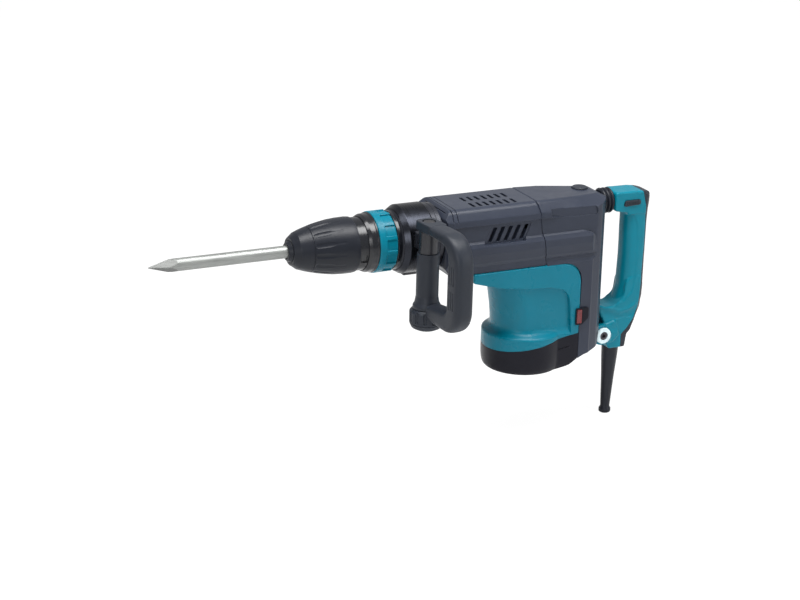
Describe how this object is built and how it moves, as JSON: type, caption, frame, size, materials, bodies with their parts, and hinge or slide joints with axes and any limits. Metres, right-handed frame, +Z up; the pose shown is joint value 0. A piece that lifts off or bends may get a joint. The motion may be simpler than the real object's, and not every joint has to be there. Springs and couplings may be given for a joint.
{
  "type": "electric demolition hammer",
  "caption": "Electric demolition hammer with a bull point chisel, swivelling D side handle, sprung rear handle and an upright motor under the hammer barrel.",
  "frame": {"origin": "centre of the motor cap's flat underside, on the motor axis", "axes": "+X from the chisel towards the rear handle, along the hammer axis; +Y away from the near side that carries the side handle and lamp; +Z up along the motor axis"},
  "size_m": [0.7815, 0.2373, 0.3705],
  "materials": {
    "chisel steel": "dark forged and ground",
    "steel": "ground",
    "dark steel": "blackened",
    "barrel alloy": "dark satin, lighter flange",
    "cast alloy": "machined",
    "copper": "turned",
    "brass": "stamped",
    "carbon": "pressed graphite",
    "rubber": "matt",
    "soft black": "textured",
    "housing black": "fine texture",
    "teal plastic": "semi-gloss",
    "white plastic": "semi-gloss",
    "lamp red": "clear red"
  },
  "bodies": {
    "housing": {"front_housing": "housing black", "top_cover": "housing black", "rear_housing": "housing black", "motor_housing": "teal plastic", "motor_cap": "housing black", "lamp_bezel": "housing black", "lamp_lens": "lamp red", "barrel": "barrel alloy", "barrel_seal": "rubber", "cylinder": "steel", "gear_plate": "cast alloy", "crank_bearing": "steel", "armature_bearing_upper": "steel", "armature_bearing_lower": "steel", "field_core": "dark steel", "brush_plate": "brass", "carbon_brush_near": "carbon", "carbon_brush_far": "carbon", "bellows": "rubber", "handle_spring": "steel"},
    "holder": {"tool_holder": "dark steel", "holder_sleeve": "soft black", "dust_cap": "rubber", "impact_damper": "rubber", "release_spring": "steel"},
    "bit": {"chisel": "chisel steel"},
    "cover": {"release_cover": "soft black"},
    "ball_up": {"lock_ball_upper": "steel"},
    "ball_down": {"lock_ball_lower": "steel"},
    "ring": {"change_ring": "teal plastic", "change_ring_collar": "soft black"},
    "bolt": {"impact_bolt": "steel"},
    "ram": {"striker": "steel"},
    "plunger": {"piston": "cast alloy"},
    "crank": {"crankshaft": "steel", "crank_gear": "steel"},
    "rod": {"connecting_rod": "steel", "wrist_pin": "steel"},
    "counter": {"countershaft": "steel"},
    "armature": {"armature_shaft": "steel", "armature_core": "dark steel", "commutator": "copper", "cooling_fan": "housing black"},
    "side_base": {"side_handle_base": "cast alloy"},
    "side_grip": {"side_handle": "soft black", "clamp_bolt": "dark steel"},
    "knob": {"clamp_knob": "housing black"},
    "rear_handle": {"handle_shell_near": "teal plastic", "handle_shell_far": "teal plastic", "handle_grip_pad": "soft black", "switch_body": "housing black", "pivot_ring_near": "white plastic", "pivot_ring_far": "white plastic", "pivot_bolt": "dark steel", "handle_screw_upper": "dark steel", "handle_screw_lower": "dark steel", "cord_guard": "rubber", "cord_clip": "housing black"},
    "switch": {"switch_bar": "soft black"},
    "dial": {"speed_dial": "housing black"}
  },
  "joints": [
    {"name": "tool_holder_turn", "type": "hinge", "parent": "housing", "child": "holder", "pos_m": [-0.371, 0, 0.216], "axis": [1, 0, 0], "continuous": true},
    {"name": "chisel_slide", "type": "slide", "parent": "holder", "child": "bit", "axis": [1, 0, 0], "range_m": [-0.02, 0]},
    {"name": "release_cover_slide", "type": "slide", "parent": "holder", "child": "cover", "axis": [1, 0, 0], "range_m": [0, 0.0085], "stiffness_N_per_m": 400, "springref_m": -0.02, "deforming": ["release_spring"]},
    {"name": "lock_ball_upper_lift", "type": "slide", "parent": "holder", "child": "ball_up", "axis": [0, 0, 1], "range_m": [0, 0.0026]},
    {"name": "lock_ball_lower_lift", "type": "slide", "parent": "holder", "child": "ball_down", "axis": [0, 0, -1], "range_m": [0, 0.0026]},
    {"name": "change_ring_slide", "type": "slide", "parent": "holder", "child": "ring", "axis": [1, 0, 0], "range_m": [-0.004, 0], "stiffness_N_per_m": 600, "springref_m": 0.01},
    {"name": "impact_bolt_slide", "type": "slide", "parent": "holder", "child": "bolt", "axis": [1, 0, 0], "range_m": [0, 0.004]},
    {"name": "striker_slide", "type": "slide", "parent": "housing", "child": "ram", "axis": [1, 0, 0], "range_m": [0, 0.016]},
    {"name": "piston_slide", "type": "slide", "parent": "housing", "child": "plunger", "axis": [1, 0, 0], "range_m": [-0.024, 0]},
    {"name": "armature_spin", "type": "hinge", "parent": "housing", "child": "armature", "pos_m": [0, 0, 0.12], "axis": [0, 0, 1], "continuous": true},
    {"name": "countershaft_spin", "type": "hinge", "parent": "housing", "child": "counter", "pos_m": [-0.01207, 0.02303, 0.16], "axis": [0, 0, 1], "continuous": true},
    {"name": "crank_spin", "type": "hinge", "parent": "housing", "child": "crank", "pos_m": [-0.035, 0, 0.19], "axis": [0, 0, 1], "continuous": true},
    {"name": "connecting_rod_turn", "type": "hinge", "parent": "crank", "child": "rod", "pos_m": [-0.023, 0, 0.216], "axis": [0, 0, 1], "continuous": true},
    {"name": "side_handle_turn", "type": "hinge", "parent": "housing", "child": "side_base", "pos_m": [-0.194, 0, 0.216], "axis": [1, 0, 0], "continuous": true},
    {"name": "side_handle_swing", "type": "hinge", "parent": "side_base", "child": "side_grip", "pos_m": [-0.194, -0.073, 0.216], "axis": [0, 0, -1], "range_deg": [-12, 96]},
    {"name": "clamp_knob_turn", "type": "hinge", "parent": "side_grip", "child": "knob", "pos_m": [-0.194, -0.073, 0.12], "axis": [0, 0, 1], "continuous": true},
    {"name": "rear_handle_flex", "type": "hinge", "parent": "housing", "child": "rear_handle", "pos_m": [0.125, 0, 0.034], "axis": [0, -1, 0], "range_deg": [0, 2], "stiffness_Nm_per_rad": 150, "springref_deg": -1.72, "deforming": ["bellows", "handle_spring"]},
    {"name": "switch_slide", "type": "slide", "parent": "rear_handle", "child": "switch", "axis": [0, 1, 0], "range_m": [0, 0.004]},
    {"name": "speed_dial_turn", "type": "hinge", "parent": "housing", "child": "dial", "pos_m": [0.091, 0.01, 0.266], "axis": [0, 0, 1], "range_deg": [-120, 120]}
  ],
  "couplings": [
    {"joint": "lock_ball_upper_lift", "follows": "release_cover_slide", "ratio": 0.29412},
    {"joint": "lock_ball_lower_lift", "follows": "release_cover_slide", "ratio": 0.29412},
    {"joint": "countershaft_spin", "follows": "armature_spin", "ratio": -0.2381},
    {"joint": "crank_spin", "follows": "armature_spin", "ratio": 0.071429},
    {"joint": "connecting_rod_turn", "follows": "armature_spin", "ratio": -0.071429}
  ]
}
